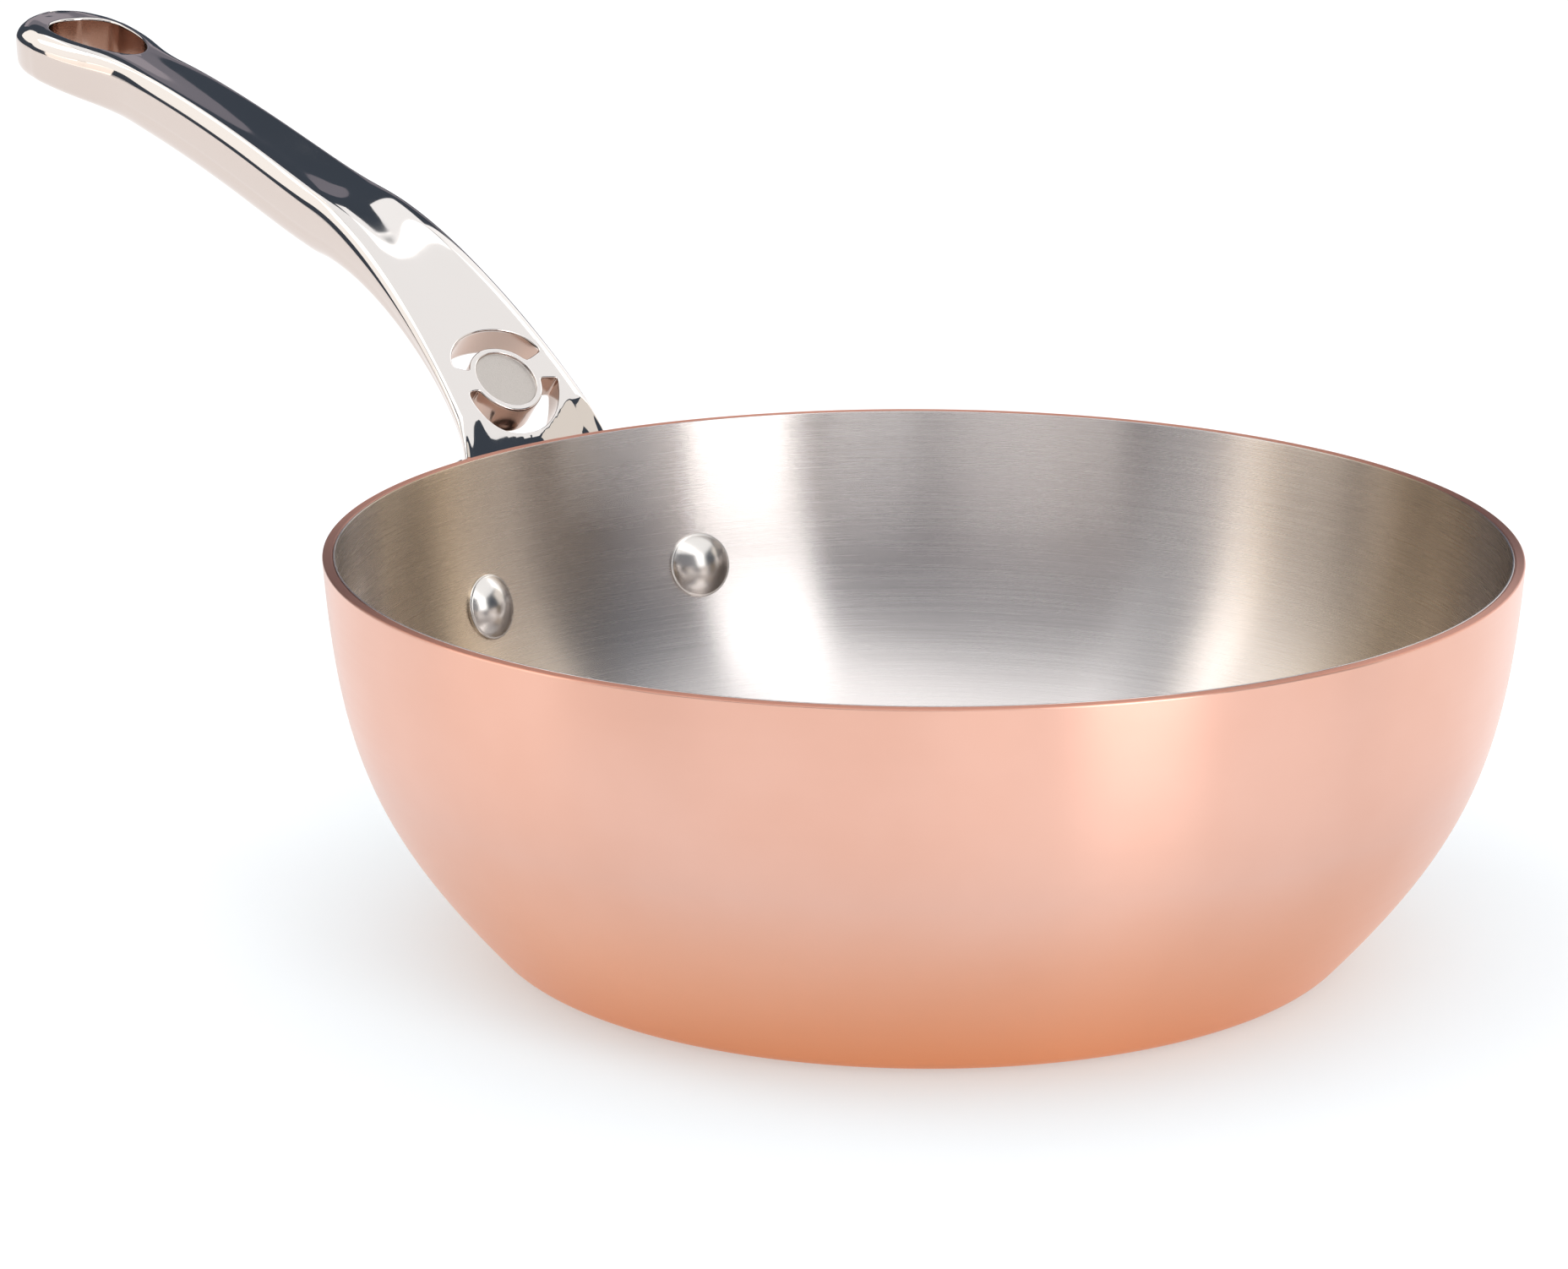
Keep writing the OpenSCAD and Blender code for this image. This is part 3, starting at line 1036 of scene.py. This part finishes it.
# %% [markdown]
# The windows themselves. The eye is egg-shaped, and two curved slots leave the
# medallion on its two webs. The medallion's face is sunk, and left bare.

# %% Outlines of the eye and the slots
eye_points = 120
disc_points = 72
slot_points = 60
slot_degree = 4
slot_step = 0.35
slot_soft_rounds = 5
# Each slot's outer edge: angle round the medallion and distance from its centre
far_slot = [(-66, 13.8), (-50, 14.6), (-25, 13.8), (0, 13.5), (30, 13.0), (66, 12.2)]
near_slot = [(100, 11.2), (118, 12.8), (140, 13.8), (170, 14.1), (200, 13.2), (225, 12.5), (261, 13.0)]


def circle(turn):
    return np.stack([np.cos(turn), np.sin(turn)], 1)


def eye_outline():
    points = circle(np.linspace(0, math.tau, eye_points, endpoint=False))
    reach = np.where(points[:, :1] > 0, eye_r, eye_l - eye_r)
    return points * np.concatenate([reach, np.full_like(reach, eye_r)], 1)


def arc(centre, radius, start, end, count):
    turn = np.radians(np.linspace(start, end, count, endpoint=False))
    return np.asarray(centre) + radius * circle(turn)


def on_medallion(outline):
    return outline * [medallion_stretch, 1] + [0, medallion_side]


def even_points(outline):
    """The same closed line with points an even step apart."""
    closed = np.concatenate([outline, outline[:1]])
    run = np.concatenate([[0], np.cumsum(np.linalg.norm(np.diff(closed, axis=0), axis=1))])
    places = np.linspace(0, run[-1], round(run[-1] / slot_step), endpoint=False)
    return np.stack([np.interp(places, run, closed[:, axis]) for axis in (0, 1)], 1)


def slot_outline(edge):
    """A slot between the medallion and its own outer edge, with softened corners."""
    angles, reaches = np.array(edge, float).T
    fine = np.linspace(angles[0], angles[-1], slot_points)
    bend = np.polyfit(angles, reaches, slot_degree)
    outer = np.polyval(bend, fine)[:, None] * circle(np.radians(fine))
    inner = arc((0, 0), medallion_r, angles[-1], angles[0], slot_points)
    outline = even_points(np.concatenate([outer, inner]))
    for _ in range(slot_soft_rounds):
        outline = (np.roll(outline, 1, 0) + 2 * outline + np.roll(outline, -1, 0)) / 4
    return on_medallion(even_points(outline))


print("slot points", len(slot_outline(far_slot)), len(slot_outline(near_slot)))

# %% Cut the windows
face_shares = (0.8, 0.55, 0.3)
slot_edge, face_edge, eye_edge = 0.4, 0.25, 0.5
medallion_margin, eye_margin, eye_bottom_margin = 0.35, 0.3, 0.5
medallion_patch = (-17, 17)
eye_patch = (-26, 13.5)
patch_height = 12
top_columns = (-18, 18)
bottom_columns = (column_count // 2 - 19, column_count // 2 + 19)


def cut_through(plane, outline, radius):
    """Both rounded edges and the wall of a hole; returns its loops on the skin."""
    top = edge_loops(plane, outline, 1, radius)
    bottom = edge_loops(plane, outline, -1, radius)
    casting.bridge(*top)
    casting.cut += casting.bridge(top[-1], bottom[-1])
    casting.bridge(*bottom[::-1])
    return top[0], bottom[0]


def sink_face(plane, radius, depth, edge):
    """The sunken face of the medallion; returns its loop on the skin."""
    outline = on_medallion(arc((0, 0), radius, 0, 360, disc_points))
    middle = outline.mean(0)
    chain = edge_loops(plane, outline, 1, edge)[:-1]
    for sine, cosine in quarter_turn():
        flat = offset_loop(outline, -edge * (1 - cosine))
        chain.append(casting.add(plane.lift(flat, edge * (1 - sine) - depth)))
    for share in face_shares:
        chain.append(casting.add(plane.lift(middle + (outline - middle) * share, -depth)))
    face_start = rounding_steps + 3
    casting.bridge(*chain[:face_start + 1])
    casting.blasted += casting.bridge(*chain[face_start:])
    casting.blasted += casting.close(chain[-1], plane.lift(middle, -depth))
    return chain[0]


def rows_round(plane, low, high):
    """Rows of the skin whose middles lie between two places along the plane."""
    along = (skin[:, 0] - plane.at) @ plane.way
    near = np.abs((skin[:, 0] - plane.at) @ plane.up) < patch_height
    wanted = np.where((along > low) & (along < high) & near)[0]
    return int(wanted[0]), int(wanted[-1])


medallion_plane = Plane(neck_controls, rim_r + medallion_out)
eye_plane = Plane(grip_controls, eye_x)
slot_loops = [cut_through(medallion_plane, slot_outline(edge), slot_edge) for edge in (far_slot, near_slot)]
face_loop = sink_face(medallion_plane, medallion_face_r, medallion_face_depth, face_edge)
medallion_rows = rows_round(medallion_plane, *medallion_patch)
top_tris = fill_window(medallion_plane, medallion_rows, top_columns,
                       [loops[0] for loops in slot_loops] + [face_loop], medallion_margin)
bottom_tris = fill_window(medallion_plane, medallion_rows, bottom_columns,
                          [loops[1] for loops in slot_loops], medallion_margin)
eye_loops = cut_through(eye_plane, eye_outline(), eye_edge)
eye_rows = rows_round(eye_plane, *eye_patch)
fill_window(eye_plane, eye_rows, top_columns, [eye_loops[0]], eye_margin)
fill_window(eye_plane, eye_rows, bottom_columns, [eye_loops[1]], eye_bottom_margin)
print("triangles round the medallion", top_tris, bottom_tris)

# %% Close the casting
tip_nudge = np.array([0.05, 0, 0.01])  # lifts the last centre clear of its ring
# Below this upward part of the normal the handle takes its painted reflection tint.
side_reflection_from, side_reflection_run = 0.35, 0.3  # the normal's upward part where the tint sets in
casting.faces += skin_faces[~removed].tolist()
casting.close(skin_ids[0].tolist(), skin[0].mean(0))
casting.close(skin_ids[-1].tolist(), skin[-1].mean(0) + tip_nudge)


def mesh_object(name, points, faces, materials, marked=()):
    """A plain mesh from millimetres, turned so that +X outwards becomes -X."""
    mesh = bpy.data.meshes.new(name)
    places = np.asarray(points, float) * [-MM, -MM, MM]
    mesh.from_pydata(places.tolist(), [], faces)
    for material in materials:
        mesh.materials.append(material)
    for number, group in enumerate(marked, 1):
        for face in group:
            mesh.polygons[face].material_index = number
    mesh.shade_smooth()
    settle(mesh)
    return add_object(name, mesh)


handle = mesh_object("handle_casting", casting.points, casting.faces,
                     [handle_steel, medallion_face, shaded_cut_steel], [casting.blasted, casting.cut])
# Faces that turn sideways and down get the painted reflection tint.
normals = np.array([list(vertex.normal) for vertex in handle.data.vertices])
side_reflection = handle.data.attributes.new("side_reflection", "FLOAT", "POINT")
side_reflection.data.foreach_set("value", ease((side_reflection_from - normals[:, 2]) / side_reflection_run))
print("warmest flank", round(max(entry.value for entry in side_reflection.data), 2))

# %% [markdown]
# The flange is a winged plate that hugs the wall round both rivets. Loops of
# its outline run from its edge to its middle line, on the wall's own curve.

# %% The flange
flange_edge = 1.2
flange_points = 48
back_radii = (2.0, 6.0, 10.0, flange_h / 2 - 0.3)
back_edge_share = 0.06
face_radii = (11.0, 8.0, 5.0, 2.0)
table_us = np.linspace(1, 0, 400)
wall_table = np.array([bezier(wall_controls, u) for u in table_us])
plate_table = np.array([bezier(wall_controls, u) + flange_t * wall_normal(u) for u in table_us])


def plate_radius(height, share):
    """Radius of the wall (share 0) or of the plate's face (share 1) at a height."""
    inner = np.interp(height, wall_table[:, 1], wall_table[:, 0])
    outer = np.interp(height, plate_table[:, 1], plate_table[:, 0])
    return inner + share * (outer - inner)


def flange_outline(radius):
    right = arc((rivet_spread / 2, 0), radius, -90, 90, flange_points)
    left = arc((-rivet_spread / 2, 0), radius, 90, 270, flange_points)
    straight = np.linspace(rivet_spread / 2, -rivet_spread / 2, flange_points, endpoint=False)
    top = np.stack([straight, np.full(flange_points, radius)], 1)
    return np.concatenate([right, top, left, -top])


def flange_loop(radius, share):
    outline = flange_outline(radius)
    height = outline[:, 1] + rivet_at[1]
    reach = plate_radius(height, share)
    return np.stack([np.sqrt(reach ** 2 - outline[:, 0] ** 2), outline[:, 0], height], 1)


def fill_strip(plate, loop):
    """Fills the narrow loop along the middle line with rungs, as a ladder. The last
    rung of each round end is a triangle."""
    side = flange_points
    loop = loop + loop[:1]
    for first in (0, 2 * side):
        for k in range(side // 2):
            rung = [loop[first + k], loop[first + k + 1],
                    loop[first + side - k - 1], loop[first + side - k]]
            plate.faces.append(list(dict.fromkeys(rung)))
    for k in range(side):
        plate.faces.append(
            [loop[side + k], loop[side + k + 1], loop[4 * side - k - 1], loop[4 * side - k]])


def make_flange():
    """The plate, from the middle line of its back round the edge to that of its face."""
    plate = Casting()
    half = flange_h / 2
    rims = [(radius, 0.0) for radius in back_radii] + [(half, back_edge_share)]
    rims += [(half - flange_edge * (1 - cosine), 1 - flange_edge / flange_t * (1 - sine))
             for sine, cosine in quarter_turn()]
    rims += [(radius, 1.0) for radius in face_radii]
    loops = [plate.add(flange_loop(radius, share)) for radius, share in rims]
    plate.bridge(*loops)
    fill_strip(plate, loops[0])
    fill_strip(plate, loops[-1])
    return plate


plate = make_flange()
flange = mesh_object("flange", plate.points, plate.faces, [handle_steel])

# %% [markdown]
# The floor and the light. The floor is a pale sheet, with a painted cool tint near the pan. Large soft
# lights hang overhead, cards stand at both sides and a tall window at the front right.
# Between them the studio is dark, and the polished handle mirrors that.

# %% Floor
floor_reach = 4.2
floor_z = -0.0001
floor_white = (0.66, 0.66, 0.66, 1)
floor_cool = (0.49, 0.62, 0.68, 1)
cool_end, cool_start = 0.2, 0.085


def floor_material():
    """White, and a little cooler near the pan: a painted cool tint there cancels the copper's warm glow."""
    made, board, place = new_material("pale_floor")
    x, y, _ = board.parts(place)
    finish_material(board, {
        "Base Color": board.blend(axis_reach(x, y).fit(cool_end, cool_start), floor_white, floor_cool),
        "Roughness": 0.9, "Specular IOR Level": 0.1,
        "Emission Color": (1, 1, 1, 1), "Emission Strength": 0.4,
    })
    return made


floor_mesh = bpy.data.meshes.new("floor")
floor_corners = [(-1, -1), (1, -1), (1, 1), (-1, 1)]
floor_mesh.from_pydata([(x * floor_reach, y * floor_reach, floor_z) for x, y in floor_corners],
                       [], [(0, 1, 2, 3)])
floor_mesh.materials.append(floor_material())
floor = add_object("floor", floor_mesh)
print("floor", floor_reach * 2, "m wide")

# %% Light
light_distance = 2.4


def soft_light(name, azimuth, elevation, wide, high, strength, nearer=0.0, colour=(1, 1, 1), roll=0.0):
    """A rectangular soft light that looks at the pan. Its place and its size are
    angles in degrees, seen from the pan; azimuth 0 is +X and 90 is +Y. Strength 1
    is as bright as a white floor in this light. Roll turns it round its beam."""
    distance = light_distance - nearer
    data = bpy.data.lights.new(name, "AREA")
    data.shape = "RECTANGLE"
    data.size = 2 * distance * math.tan(math.radians(wide / 2))
    data.size_y = 2 * distance * math.tan(math.radians(high / 2))
    data.energy = strength * data.size * data.size_y * math.pi
    data.color = colour
    a, e = math.radians(azimuth), math.radians(elevation)
    way = Vector((math.cos(e) * math.cos(a), math.cos(e) * math.sin(a), math.sin(e)))
    made = add_object(name, data)
    made.location = way * distance
    roll_turn = Quaternion((0, 0, 1), math.radians(roll))
    made.rotation_euler = ((-way).to_track_quat("-Z", "Y") @ roll_turn).to_euler()


world = bpy.data.worlds.new("studio")
bpy.context.scene.world = world
world.use_nodes = True
world_board = Board(world.node_tree)
backdrop = world_board.node("ShaderNodeBackground", {"Color": (0.6, 0.75, 1, 1), "Strength": 0.1})
world_board.node("ShaderNodeOutputWorld", {"Surface": backdrop})
soft_light("window", 357, 23, 24, 38, 2.0)
soft_light("window_foot", 0, 4.5, 22, 9, 7.5, 0.1)
soft_light("right_card", 104, 24, 38, 48, 1.3)
soft_light("slanted_card", 135, 46.4, 17, 7, 1.2, 0.1, roll=-44)
soft_light("warm_right", 68.5, 19, 33, 38, 0.95, 0, (1, 0.93, 0.84))
soft_light("low_right", 27, 4, 28, 8, 2.3, 0.05)
soft_light("left_card", 247, 18, 11, 36, 1.75, 0, (1, 0.95, 0.88))
soft_light("left_shoulder", 232, 6.5, 18, 13, 1.5, 0, (1, 0.93, 0.85))
soft_light("left_fade", 263, 24, 17, 48, 0.5, 0.05)
soft_light("left_top", 214, 32, 54, 38, 1.3, 0.15, (1, 0.96, 0.91))
soft_light("back_card", 143, 22, 54, 5, 0.32, 0, (1, 0.86, 0.92))
soft_light("back_card_top", 143, 27, 54, 5, 0.16, 0, (1, 0.86, 0.95))
soft_light("front_strip", 300, 4.5, 44, 9, 1.7, 0.05)
soft_light("front_right", 331, 5, 18, 10, 2.5, 0.05)
soft_light("front_dim", 305, 25, 62, 30, 0.22, 0, (1, 0.95, 0.95))
soft_light("overhead", 46, 84, 84, 84, 1.14)
soft_light("front_top", 285, 68, 110, 20, 1.0, 0.3)
bpy.context.scene.view_settings.view_transform = "Standard"
print("lights", [light.name for light in bpy.data.lights])

# %% [markdown]
# Last, each piece is attached to the root body, and the solid that it stands for is hidden.

# %% Attach the pieces to the root and hide the solids they replace
for piece, node, slot in [
        (copper_shell, "copper_body", "copper"), (lining_shell, "steel_lining", "lining_steel"),
        (handle, "handle", "handle_steel"), (rivets[0], "rivet_left", "rivet_steel"),
        (rivets[1], "rivet_right", "rivet_steel")]:
    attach(piece, "root")
    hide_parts(node)
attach(flange, "root")
